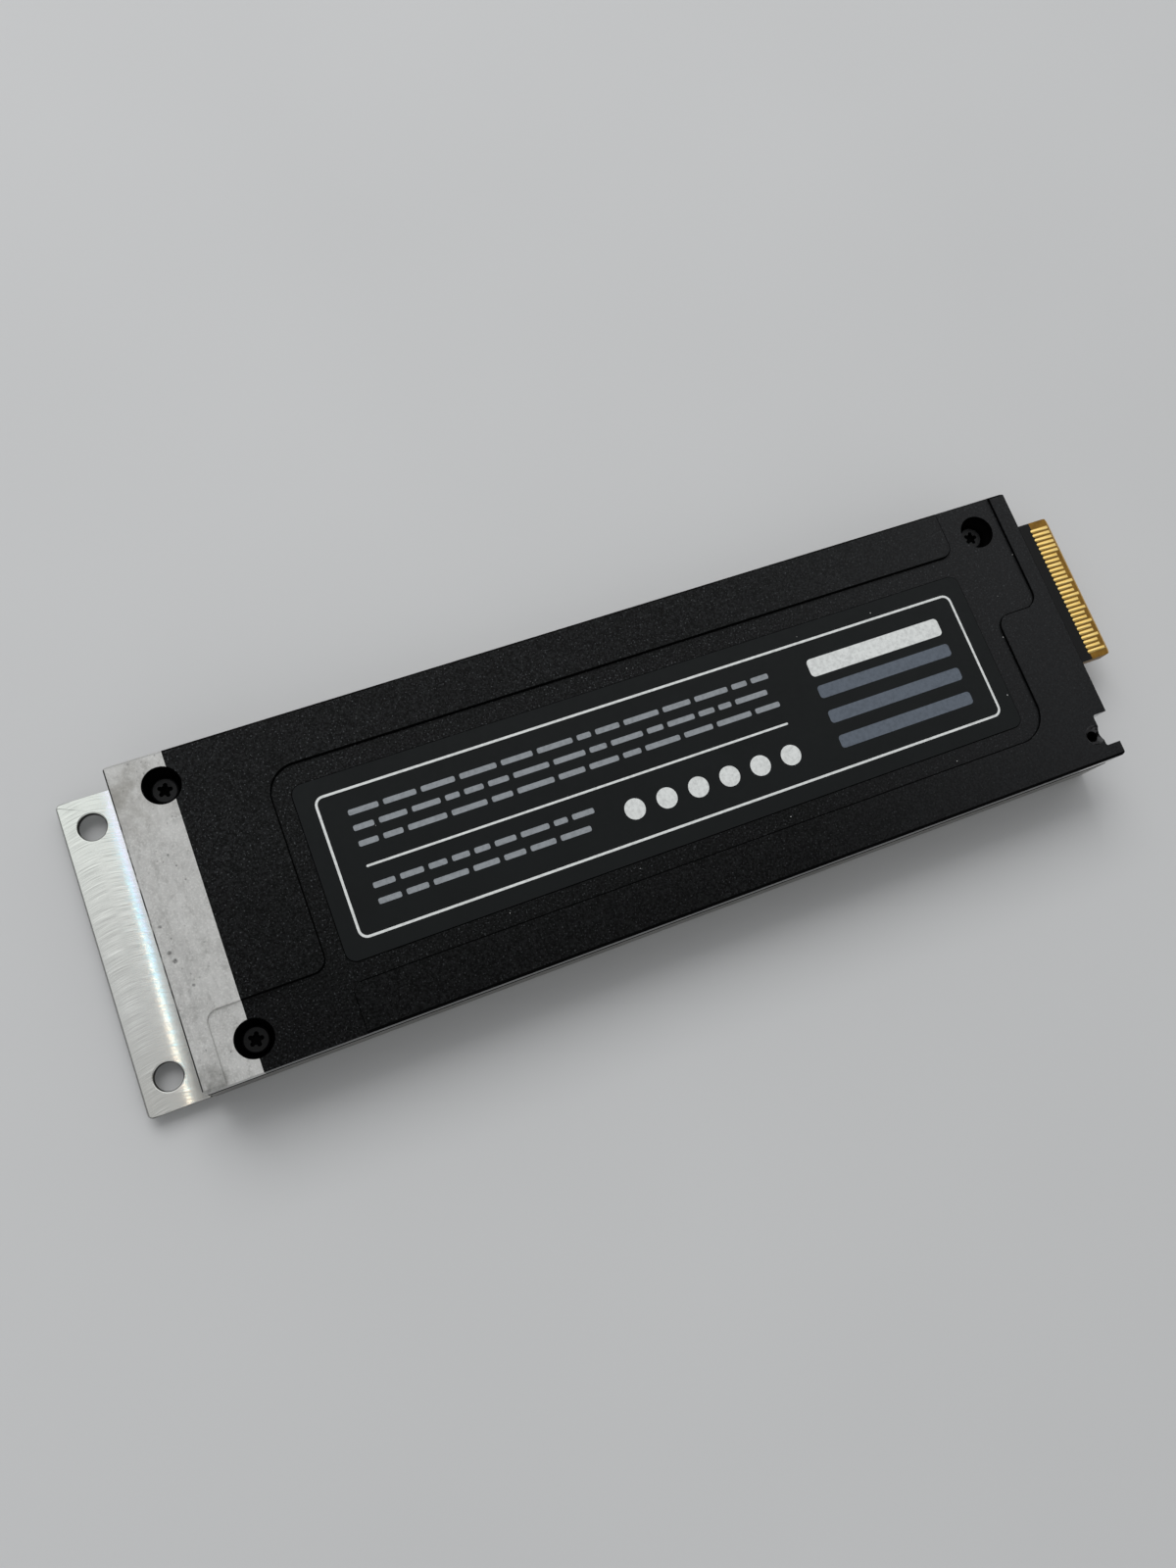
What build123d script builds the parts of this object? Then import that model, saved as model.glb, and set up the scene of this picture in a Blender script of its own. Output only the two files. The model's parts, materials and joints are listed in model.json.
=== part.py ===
from build123d import *
import os

# Ruler SSD module: two aluminium shells screwed together around a circuit board.
# X runs along the module from the flange to the edge connector, Y across it, Z up.
# The origin is at the bottom centre of the whole module. All sizes are in mm.

# Whole module
overall_length = 118.75
overall_width = 33.75
overall_height = 9.5
half_width = overall_width / 2

# Case, along X
flange_length = 6.45
tab_reach = 6.825
flange_end = -overall_length / 2
board_end = overall_length / 2
case_front = flange_end + flange_length
case_back = board_end - tab_reach
case_length = case_back - case_front
case_middle = (case_front + case_back) / 2

# Shell walls
parting_height = 6.6
side_wall = 1.0
front_wall = 0.7
back_wall = 1.2
floor_thickness = 1.2
cover_ceiling = 8.0
cover_front_corner = 0.4
back_corner = 0.4
inner_half_width = half_width - side_wall
inner_front = case_front + front_wall
inner_back = case_back - back_wall

# Edges: bevels along the cover's long top edges, a light break across its ends
bevel_width = 0.28
bevel_drop = 0.35
end_break = 0.15
bottom_chamfer = 0.4

# Groove around the base's rim, just under the cover
groove_depth = 0.25
groove_low = parting_height - 1.2

# Front flange
flange_top = 2.0
flange_thickness = 0.9
flange_corner = 0.5
flange_fillet = 0.4
flange_root = 0.6
flange_hole_radius = 1.425
flange_hole_spacing = 27.0
flange_hole_x = flange_end + 2.95

# Keying notch in the near back corner, and the solid block behind it
notch_front = 50.66
notch_low = -15.3
notch_high = -11.57
notch_round = 0.25
notch_middle = (notch_low + notch_high) / 2
notch_depth = case_back - notch_front
notch_block_front = notch_front - 2.1
notch_block_high = notch_high + 0.9

# Stepped pocket in the cover's top face: corner points and their radii
pocket_floor = overall_height - bevel_drop
pocket_overrun = 1.0
pocket_near = -half_width - pocket_overrun
pocket_far = half_width + pocket_overrun
pocket_corners = [
    ((-50.54, pocket_near), 0.0),
    ((-50.54, -9.65), 1.1),
    ((-38.24, -9.65), 1.5),
    ((-38.24, 11.4), 3.0),
    ((43.26, 11.4), 1.4),
    ((43.26, pocket_far), 0.0),
    ((50.48, pocket_far), 0.0),
    ((50.48, 2.83), 1.5),
    ((44.83, 2.83), 1.6),
    ((44.83, -11.73), 3.4),
    ((-36.72, -11.73), 1.2),
    ((-36.72, pocket_near), 0.0),
]

# Cover screws
screw_points = [(-48.0, 13.3), (-46.95, -13.5), (47.4, 13.3)]
screw_seat = parting_height
counterbore_radius = 1.95
screw_clearance_radius = 0.9
upper_boss_radius = 2.8
lower_boss_radius = 2.2
base_boss_radius = 2.0
tapped_radius = 0.81
tapped_floor = 0.8
head_radius = 1.35
head_height = 0.85
head_edge = 0.15
shank_radius = 0.8
shank_length = 5.4
socket_lobes = 5
socket_depth = 0.55
socket_core_radius = 0.5
socket_lobe_radius = 0.22
socket_lobe_circle = 0.56

# Small countersunk hole just in front of the notch, whose rim breaks the notch's edge
pilot_point = (49.85, -13.75)
pilot_radius = 0.62
pilot_rim_radius = 1.15
pilot_depth = 2.4

# Circuit board
board_thickness = 1.57
board_bottom = (overall_height - board_thickness) / 2
board_top = board_bottom + board_thickness
board_length = 111.49
board_front = board_end - board_length
board_width = 31.5
board_gap = 0.1
board_shoulder = inner_back - board_gap
board_hole_radius = 1.0

# Connector tab, its bevelled tip and the slot that it leaves the case by
tab_width = 18.3
tab_middle = 4.33
tab_corner = 0.7
tab_bevel_length = 0.4
tab_bevel_height = 0.35
slot_width = tab_width + 0.3
slot_reach = 2 * back_wall
slot_gap = 0.05
tongue_gap = 0.1

# Edge contacts: the long ones mate first, counted from the far side
contact_count = 28
contact_pitch = 0.6
contact_middle = 4.24
contact_width = 0.42
contact_thickness = 0.05
contact_start = 56.45
long_contact_end = 58.85
short_contact_end = 58.45
contact_corner = 0.12
long_contacts = [1, 2, 3, 4, 5, 6, 13, 16, 19, 22, 25, 28]

# Label sheet
label_low = (-36.4, -9.9)
label_high = (42.4, 9.2)
label_thickness = 0.12
label_corner = 1.2

# Packages on the board: length along X, width along Y, height
flash_size = (12.0, 18.0, 1.3)
flash_top_places = [-27.0, -13.0, 1.0]
flash_bottom_places = [-27.0, -13.0, 1.0, 15.0]
memory_size = (8.0, 12.5, 1.1)
memory_x = 13.0
memory_offsets = [-7.0, 7.0]
controller_size = (17.0, 17.0, 1.5)
controller_x = 29.0
power_chip_size = (5.0, 5.0, 0.9)
power_chip_place = (42.5, -2.5)
inductor_size = (4.0, 4.0, 1.9)
inductor_places = [(42.5, 8.5), (42.5, 3.5), (42.5, -8.5)]
inductor_corner = 0.6
capacitor_size = (7.3, 4.3, 1.9)
capacitor_x = -38.5
capacitor_offsets = [-10.0, -5.0, 0.0, 5.0, 10.0]
capacitor_edge = 0.25
ceramic_size = (0.8, 1.6, 0.8)
ceramic_columns = [19.0, 39.0]
ceramic_rows = 10
ceramic_pitch = 2.4
crystal_size = (3.2, 2.5, 0.8)
crystal_place = (42.5, -12.8)
light_size = (0.8, 1.6, 0.6)
light_x = -51.4
light_offsets = [-2.5, 2.5]
package_edge = 0.1

# Windows for the status lights, open to the base's rim
window_width = 1.8
window_sill = board_top

# Thermal pads reach past the packages they sit on
pad_margin = 0.5


def save(piece, name):
    """Label a finished piece and write its STEP file."""
    piece.part.label = name
    export_step(piece.part, f"parts/{name}.step")


def nearest(vertices, x, y):
    """The vertex closest to a point of the sketch."""
    return vertices.sort_by_distance((x, y, 0))[0]


def case_outline(front_corner):
    """Plan of one shell, with its rounded corners and the keying notch."""
    with BuildSketch() as outline:
        with Locations((case_middle, 0)):
            Rectangle(case_length, overall_width)
        for y in (-half_width, half_width):
            fillet(nearest(outline.vertices(), case_back, y), back_corner)
            if front_corner:
                fillet(nearest(outline.vertices(), case_front, y), front_corner)
        with Locations((case_back, notch_middle)):
            Rectangle(2 * notch_depth, notch_high - notch_low, mode=Mode.SUBTRACT)
        for y in (notch_low, notch_high):
            fillet(nearest(outline.vertices(), notch_front, y), notch_round)
    return outline.sketch


def cavity_outline():
    """Plan of the hollow inside both shells, clear of the block behind the notch."""
    with BuildSketch() as outline:
        with Locations((inner_front, 0)):
            Rectangle(inner_back - inner_front, 2 * inner_half_width, align=(Align.MIN, Align.CENTER))
        with Locations((notch_block_front, -inner_half_width)):
            Rectangle(
                inner_back - notch_block_front,
                notch_block_high + inner_half_width,
                align=(Align.MIN, Align.MIN),
                mode=Mode.SUBTRACT,
            )
    return outline.sketch


def pocket_outline():
    """Plan of the stepped pocket, whose two arms run out over the long edges."""
    with BuildSketch() as outline:
        with BuildLine():
            Polyline([point for point, radius in pocket_corners], close=True)
        make_face()
        for (x, y), radius in pocket_corners:
            if radius:
                fillet(nearest(outline.vertices(), x, y), radius)
    return outline.sketch


def contacts(level):
    """One side of the edge connector: flat contacts in two lengths, cut at their inner corners."""
    with BuildPart() as row:
        with BuildSketch(Plane.XY.offset(level)) as plan:
            for number in range(1, contact_count + 1):
                y = contact_middle + ((contact_count + 1) / 2 - number) * contact_pitch
                end = long_contact_end if number in long_contacts else short_contact_end
                with Locations((contact_start, y)):
                    Rectangle(end - contact_start, contact_width, align=(Align.MIN, Align.CENTER))
            chamfer(plan.vertices().group_by(Axis.X)[0], contact_corner)
        extrude(amount=contact_thickness)
    return row


def package(size, place, level, direction):
    """A moulded package on the board, with softened outer edges."""
    length, breadth, height = size
    with BuildPart() as chip:
        with BuildSketch(Plane.XY.offset(level)):
            with Locations(place):
                Rectangle(length, breadth)
        extrude(amount=direction * height)
        outer = chip.faces().sort_by(Axis.Z)[-1 if direction > 0 else 0]
        chamfer(outer.edges(), package_edge)
    return chip


def thermal_pad(low, high, bottom, top):
    """A soft pad that fills the space between a package and a shell."""
    with BuildPart() as pad:
        with BuildSketch(Plane.XY.offset(bottom)):
            with Locations(((low[0] + high[0]) / 2, (low[1] + high[1]) / 2)):
                Rectangle(high[0] - low[0] + 2 * pad_margin, high[1] - low[1] + 2 * pad_margin)
        extrude(amount=top - bottom)
    return pad


os.makedirs("parts", exist_ok=True)

# Base tray: the lower shell, its grooved rim, three screw bosses and the front flange
with BuildPart() as base_tray:
    with BuildSketch():
        add(case_outline(0))
    extrude(amount=groove_low)
    chamfer(base_tray.faces().sort_by(Axis.Z)[0].edges(), bottom_chamfer)
    with BuildSketch(Plane.XY.offset(groove_low)):
        add(case_outline(0))
        offset(amount=-groove_depth, kind=Kind.INTERSECTION, mode=Mode.REPLACE)
    extrude(amount=parting_height - groove_low)
    with BuildSketch(Plane.XY.offset(floor_thickness)):
        add(cavity_outline())
    extrude(amount=overall_height, mode=Mode.SUBTRACT)
    with BuildSketch(Plane.XY.offset(floor_thickness)):
        with Locations(*screw_points):
            Circle(base_boss_radius)
    extrude(amount=board_bottom - floor_thickness)
    with BuildSketch(Plane.XY.offset(tapped_floor)):
        with Locations(*screw_points):
            Circle(tapped_radius)
    extrude(amount=overall_height, mode=Mode.SUBTRACT)
    # Slot in the back wall for the board's tab
    with BuildSketch(Plane.XY.offset(board_bottom - slot_gap)):
        with Locations((case_back, tab_middle)):
            Rectangle(2 * slot_reach, slot_width)
    extrude(amount=overall_height, mode=Mode.SUBTRACT)
    # Windows in the front rim for the status lights
    with BuildSketch(Plane.XY.offset(window_sill)):
        with Locations(*[(case_front, y) for y in light_offsets]):
            Rectangle(4 * front_wall, window_width)
    extrude(amount=overall_height, mode=Mode.SUBTRACT)
    # Flange with its two holes
    with BuildSketch(Plane.XY.offset(flange_top - flange_thickness)) as flange:
        with Locations((flange_end, 0)):
            Rectangle(flange_length + flange_root, overall_width, align=(Align.MIN, Align.CENTER))
        fillet(flange.vertices().group_by(Axis.X)[0], flange_corner)
        with Locations((flange_hole_x, 0)):
            with GridLocations(0, flange_hole_spacing, 1, 2):
                Circle(flange_hole_radius, mode=Mode.SUBTRACT)
    extrude(amount=flange_thickness)
    root_edge = base_tray.edges().sort_by_distance((case_front, 0, flange_top))[0]
    fillet(root_edge, flange_fillet)
save(base_tray, "base_tray")

# Top cover: the upper shell with its bevels, stepped pocket, bosses and counterbores
with BuildPart() as top_cover:
    with BuildSketch(Plane.XY.offset(parting_height)):
        add(case_outline(cover_front_corner))
    extrude(amount=overall_height - parting_height)
    with BuildSketch(Plane.YZ.offset(case_front)):
        for side in (-half_width, half_width):
            inner = side * (1 - bevel_width / half_width)
            with BuildLine():
                Polyline((side, pocket_floor), (side, overall_height), (inner, overall_height), close=True)
            make_face()
    extrude(amount=case_length, mode=Mode.SUBTRACT)
    with BuildSketch(Plane.XZ):
        for x, step in ((case_front, end_break), (case_back, -end_break)):
            with BuildLine():
                Polyline(
                    (x, overall_height - end_break),
                    (x, overall_height),
                    (x + step, overall_height),
                    close=True,
                )
            make_face()
    extrude(amount=half_width, both=True, mode=Mode.SUBTRACT)
    with BuildSketch(Plane.XY.offset(pocket_floor)):
        add(pocket_outline())
    extrude(amount=overall_height, mode=Mode.SUBTRACT)
    with BuildSketch(Plane.XY.offset(parting_height)):
        add(cavity_outline())
    extrude(amount=cover_ceiling - parting_height, mode=Mode.SUBTRACT)
    # Screw bosses, stepped in below the parting line to clear the base's walls
    with BuildSketch(Plane.XY.offset(parting_height)):
        with Locations(*screw_points):
            Circle(upper_boss_radius)
    extrude(amount=cover_ceiling - parting_height)
    with BuildSketch(Plane.XY.offset(board_top)):
        with Locations(*screw_points):
            Circle(lower_boss_radius)
    extrude(amount=parting_height - board_top)
    with Locations(Plane.XY.offset(overall_height)):
        with Locations(*screw_points):
            CounterBoreHole(screw_clearance_radius, counterbore_radius, overall_height - screw_seat)
        with Locations(pilot_point):
            CounterSinkHole(pilot_radius, pilot_rim_radius, pilot_depth)
    # Tongue that closes the base's slot above the tab
    with BuildSketch(Plane.XY.offset(board_top + slot_gap)):
        with Locations((inner_back, tab_middle)):
            Rectangle(
                back_wall - groove_depth,
                slot_width - 2 * tongue_gap,
                align=(Align.MIN, Align.CENTER),
            )
    extrude(amount=parting_height - board_top - slot_gap)
save(top_cover, "top_cover")

# Cover screws: low round heads with five-lobe sockets
with BuildPart() as cover_screws:
    with BuildSketch(Plane.XY.offset(screw_seat)):
        with Locations(*screw_points):
            Circle(head_radius)
    extrude(amount=head_height)
    chamfer(cover_screws.faces().group_by(Axis.Z)[-1].edges(), head_edge)
    with BuildSketch(Plane.XY.offset(screw_seat)):
        with Locations(*screw_points):
            Circle(shank_radius)
    extrude(amount=-shank_length)
    with BuildSketch(Plane.XY.offset(screw_seat + head_height - socket_depth)):
        with Locations(*screw_points):
            Circle(socket_core_radius)
            with PolarLocations(socket_lobe_circle, socket_lobes):
                Circle(socket_lobe_radius)
    extrude(amount=overall_height, mode=Mode.SUBTRACT)
save(cover_screws, "cover_screws")

# Circuit board with its connector tab and screw holes
with BuildPart() as circuit_board:
    with BuildSketch(Plane.XY.offset(board_bottom)) as board_plan:
        with Locations((board_front, 0)):
            Rectangle(board_shoulder - board_front, board_width, align=(Align.MIN, Align.CENTER))
        with Locations((board_end, tab_middle)):
            Rectangle(board_end, tab_width, align=(Align.MAX, Align.CENTER))
        fillet(board_plan.vertices().group_by(Axis.X)[-1], tab_corner)
        with Locations((notch_block_front - board_gap, -half_width)):
            Rectangle(
                overall_width,
                notch_block_high + board_gap + half_width,
                align=(Align.MIN, Align.MIN),
                mode=Mode.SUBTRACT,
            )
        with Locations(*screw_points):
            Circle(board_hole_radius, mode=Mode.SUBTRACT)
    extrude(amount=board_thickness)
    with BuildSketch(Plane.XZ):
        for z, step in ((board_bottom, tab_bevel_height), (board_top, -tab_bevel_height)):
            with BuildLine():
                Polyline((board_end, z + step), (board_end, z), (board_end - tab_bevel_length, z), close=True)
            make_face()
    extrude(amount=half_width, both=True, mode=Mode.SUBTRACT)
save(circuit_board, "circuit_board")

# Edge contacts on both sides of the tab
contacts_top = contacts(board_top)
save(contacts_top, "contacts_top")
contacts_bottom = contacts(board_bottom - contact_thickness)
save(contacts_bottom, "contacts_bottom")

# Label sheet on the pocket's floor
with BuildPart() as label_sheet:
    with BuildSketch(Plane.XY.offset(pocket_floor)):
        with Locations(((label_low[0] + label_high[0]) / 2, (label_low[1] + label_high[1]) / 2)):
            RectangleRounded(label_high[0] - label_low[0], label_high[1] - label_low[1], label_corner)
    extrude(amount=label_thickness)
save(label_sheet, "label_sheet")

# Flash packages on both sides of the board
for number, x in enumerate(flash_top_places, start=1):
    save(package(flash_size, (x, 0), board_top, 1), f"flash_top_{number}")
for number, x in enumerate(flash_bottom_places, start=1):
    save(package(flash_size, (x, 0), board_bottom, -1), f"flash_bottom_{number}")

# Working memory, controller and power chip
for number, y in enumerate(memory_offsets, start=1):
    save(package(memory_size, (memory_x, y), board_top, 1), f"memory_chip_{number}")
save(package(controller_size, (controller_x, 0), board_top, 1), "controller_chip")
save(package(power_chip_size, power_chip_place, board_top, 1), "power_chip")

# Power inductors with rounded corners
for number, place in enumerate(inductor_places, start=1):
    with BuildPart() as inductor:
        with BuildSketch(Plane.XY.offset(board_top)):
            with Locations(place):
                RectangleRounded(inductor_size[0], inductor_size[1], inductor_corner)
        extrude(amount=inductor_size[2])
    save(inductor, f"inductor_{number}")

# Hold-up capacitors near the front end
for number, y in enumerate(capacitor_offsets, start=1):
    with BuildPart() as capacitor:
        with BuildSketch(Plane.XY.offset(board_top)):
            with Locations((capacitor_x, y)):
                Rectangle(capacitor_size[0], capacitor_size[1])
        extrude(amount=capacitor_size[2])
        chamfer(capacitor.faces().sort_by(Axis.Z)[-1].edges(), capacitor_edge)
    save(capacitor, f"hold_up_capacitor_{number}")

# Ceramic capacitors in a column on each side of the controller
with BuildPart() as ceramic_capacitors:
    with BuildSketch(Plane.XY.offset(board_top)):
        for x in ceramic_columns:
            with Locations((x, 0)):
                with GridLocations(0, ceramic_pitch, 1, ceramic_rows):
                    Rectangle(ceramic_size[0], ceramic_size[1])
    extrude(amount=ceramic_size[2])
save(ceramic_capacitors, "ceramic_capacitors")

# Clock crystal and the two status lights
save(package(crystal_size, crystal_place, board_top, 1), "clock_crystal")
for number, y in enumerate(light_offsets, start=1):
    save(package(light_size, (light_x, y), board_top, 1), f"status_light_{number}")

# Thermal pads between the packages and the shells
flash_half_length = flash_size[0] / 2
flash_half_width = flash_size[1] / 2
flash_top_pad = thermal_pad(
    (flash_top_places[0] - flash_half_length, -flash_half_width),
    (flash_top_places[-1] + flash_half_length, flash_half_width),
    board_top + flash_size[2],
    cover_ceiling,
)
save(flash_top_pad, "thermal_pad_flash_top")
flash_bottom_pad = thermal_pad(
    (flash_bottom_places[0] - flash_half_length, -flash_half_width),
    (flash_bottom_places[-1] + flash_half_length, flash_half_width),
    floor_thickness,
    board_bottom - flash_size[2],
)
save(flash_bottom_pad, "thermal_pad_flash_bottom")
memory_pad = thermal_pad(
    (memory_x - memory_size[0] / 2, memory_offsets[0] - memory_size[1] / 2),
    (memory_x + memory_size[0] / 2, memory_offsets[-1] + memory_size[1] / 2),
    board_top + memory_size[2],
    cover_ceiling,
)
save(memory_pad, "thermal_pad_memory")
controller_pad = thermal_pad(
    (controller_x - controller_size[0] / 2, -controller_size[1] / 2),
    (controller_x + controller_size[0] / 2, controller_size[1] / 2),
    board_top + controller_size[2],
    cover_ceiling,
)
save(controller_pad, "thermal_pad_controller")
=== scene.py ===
import json
import math
import random

import bmesh
import bpy
from mathutils import Matrix, Vector


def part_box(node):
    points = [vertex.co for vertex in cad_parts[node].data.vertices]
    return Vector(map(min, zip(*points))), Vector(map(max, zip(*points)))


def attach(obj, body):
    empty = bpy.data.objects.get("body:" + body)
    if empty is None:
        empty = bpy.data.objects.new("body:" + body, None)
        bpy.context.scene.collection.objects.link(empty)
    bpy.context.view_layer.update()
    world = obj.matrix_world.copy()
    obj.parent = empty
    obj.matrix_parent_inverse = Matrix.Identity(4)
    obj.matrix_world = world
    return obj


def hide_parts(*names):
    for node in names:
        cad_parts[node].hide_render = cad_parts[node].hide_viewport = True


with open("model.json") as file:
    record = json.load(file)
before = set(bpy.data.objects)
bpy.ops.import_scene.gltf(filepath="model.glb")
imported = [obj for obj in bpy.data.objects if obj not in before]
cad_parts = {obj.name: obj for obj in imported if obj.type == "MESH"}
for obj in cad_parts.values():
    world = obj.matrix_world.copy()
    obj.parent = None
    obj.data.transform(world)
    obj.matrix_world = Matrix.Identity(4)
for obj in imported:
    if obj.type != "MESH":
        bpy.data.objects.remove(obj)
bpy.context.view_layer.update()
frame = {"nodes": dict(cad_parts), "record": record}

# Ruler SSD module: finishes, soft edges, label print and dust around the CAD solids.
# Lengths are in millimetres in the CAD frame, and MM turns them into the scene's metres.
MM = 0.001
BODY = "root"

# Camera, solved for an image 1200 pixels wide and 1600 high
CAMERA_PLACE = (-37.137, -24.831, 135.782)
CAMERA_RIGHT = (0.922897, -0.354639, 0.149977)
CAMERA_UP = (0.311394, 0.916522, 0.251042)
CAMERA_BACK = (-0.226486, -0.184984, 0.956287)
CAMERA_FOCAL_PIXELS = 1284.42
CAMERA_NEAREST = 1.0
IMAGE_HEIGHT = 1600
SENSOR_SIZE = 36.0

# Places on the module
CASE_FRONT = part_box("top_cover")[0].x / MM
PAINT_EDGE = -47.05
SCREW_POINTS = [(-48.0, 13.3), (-46.95, -13.5), (47.4, 13.3)]
COUNTERBORE_RADIUS = 1.95
SCREW_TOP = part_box("cover_screws")[1].z / MM
SOCKET_RADIUS = 0.85
SOCKET_DEPTH = 0.55
PILOT_POINT = (49.85, -13.75)
PILOT_RIM_RADIUS = 1.2
GROOVE_LOW = 5.4
LABEL_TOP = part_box("label_sheet")[1].z / MM
POCKET_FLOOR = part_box("label_sheet")[0].z / MM
BOARD_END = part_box("circuit_board")[1].x / MM
TIP_LENGTH = 0.42
TIP_FADE = 0.06
CONTACT_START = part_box("contacts_top")[0].x / MM
MASK_EDGE = CONTACT_START + 0.22

# Stretches over which painted light and painted shade change the tones of the coat and of the screws
COAT_PAINTED_LIGHT_X = (12.0, 48.0)
COAT_PAINTED_SHADE_Y = (-15.0, 5.0)
SCREW_PAINTED_SHADE_Y = (-5.0, 5.0)

# Marks on the bare strip: each pit's X, Y and radius, and the middles of its stains
STRIP_PITS = [
    (-52.0, -2.97, 0.10), (-51.71, -3.92, 0.15), (-50.74, -6.74, 0.07),
    (-52.12, -0.28, 0.06), (-49.4, 6.3, 0.04),
]
PIT_EDGE = 0.15
SMUDGE_POINT = (-51.3, -6.2)
BROWN_POINT = (-51.2, 13.0)
CORNER_POINT = (-51.7, -16.1)

# Bright metal patch in the painted dark reflection on the cover's front edge: its middle, and the height
# over which it sets in above the groove
BRIGHT_METAL_POINT = (CASE_FRONT, 2.0)
BRIGHT_METAL_FADE = 1.0

# Milling of the flange: arcs left by a cutter of that diameter, and the turn of the light's streak
FLANGE_MIDDLE = -56.6
FLANGE_REACH = 16.0
CUTTER_DIAMETER = 14.0
CUT_SLOPE = 0.28
STREAK_TURN = math.radians(2.2)
MILLING_MAP = "along_flange"

# Rounding of the sharp edges
SHELL_ROUND = 0.06
RIM_ROUND = 0.14
LABEL_ROUND = 0.08
SMALL_ROUND = 0.02
FLANGE_ROUND = 0.2
ROUND_STEPS = 2
ROUND_ANGLE = math.radians(28)
WELD_DISTANCE = 0.0001
FLAT_ANGLE = math.radians(0.1)
SHARP_PLACES = [PILOT_POINT]
SHARP_RADIUS = 3.2

# Most of a noise lies in this range
NOISE_RANGE = (0.3, 0.7)

# How far a speckled finish's roughness strays, and how dull the thin parts of an ink are
SPECKLE_SPREAD = 0.07
THIN_INK = 0.78

# Numbers of a Mix node's colour sockets, which share their names with its other sockets
MIX_FIRST = 6
MIX_SECOND = 7
MIX_RESULT = 2


def shade(colour, share):
    """A colour dimmed to that share."""
    return tuple(share * part for part in colour)


class Nodes:
    """A node tree, with short ways to add the nodes that a look needs."""

    def __init__(self, tree):
        self.tree = tree

    def node(self, kind, **settings):
        """A new node of that kind with those settings."""
        node = self.tree.nodes.new(kind)
        for key, value in settings.items():
            setattr(node, key, value)
        return node

    def feed(self, socket, value):
        """Links another node's output to a socket, or writes a plain value into it."""
        if isinstance(value, bpy.types.NodeSocket):
            self.tree.links.new(value, socket)
        else:
            socket.default_value = value

    def span(self, value, low, high, start=0.0, end=1.0):
        """Carries value from the range low to high over to the range start to end."""
        node = self.node("ShaderNodeMapRange", clamp=True)
        self.feed(node.inputs["Value"], value)
        for socket, number in (("From Min", low), ("From Max", high), ("To Min", start), ("To Max", end)):
            node.inputs[socket].default_value = number
        return node.outputs[0]

    def ramp(self, value, *stops):
        """The colour that a value has between stops, each a position and its colour."""
        node = self.node("ShaderNodeValToRGB")
        elements = node.color_ramp.elements
        while len(elements) < len(stops):
            elements.new(0.5)
        for element, (position, colour) in zip(elements, stops):
            element.position = position
            element.color = (*colour, 1.0)
        self.feed(node.inputs[0], value)
        return node.outputs[0]

    def mix(self, factor, first, second, blend="MIX"):
        """The first colour, covered by the second as far as the factor says."""
        node = self.node("ShaderNodeMix", data_type="RGBA", blend_type=blend)
        self.feed(node.inputs["Factor"], factor)
        for socket, colour in ((MIX_FIRST, first), (MIX_SECOND, second)):
            self.feed(node.inputs[socket], (*colour, 1.0) if isinstance(colour, tuple) else colour)
        return node.outputs[MIX_RESULT]


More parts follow.
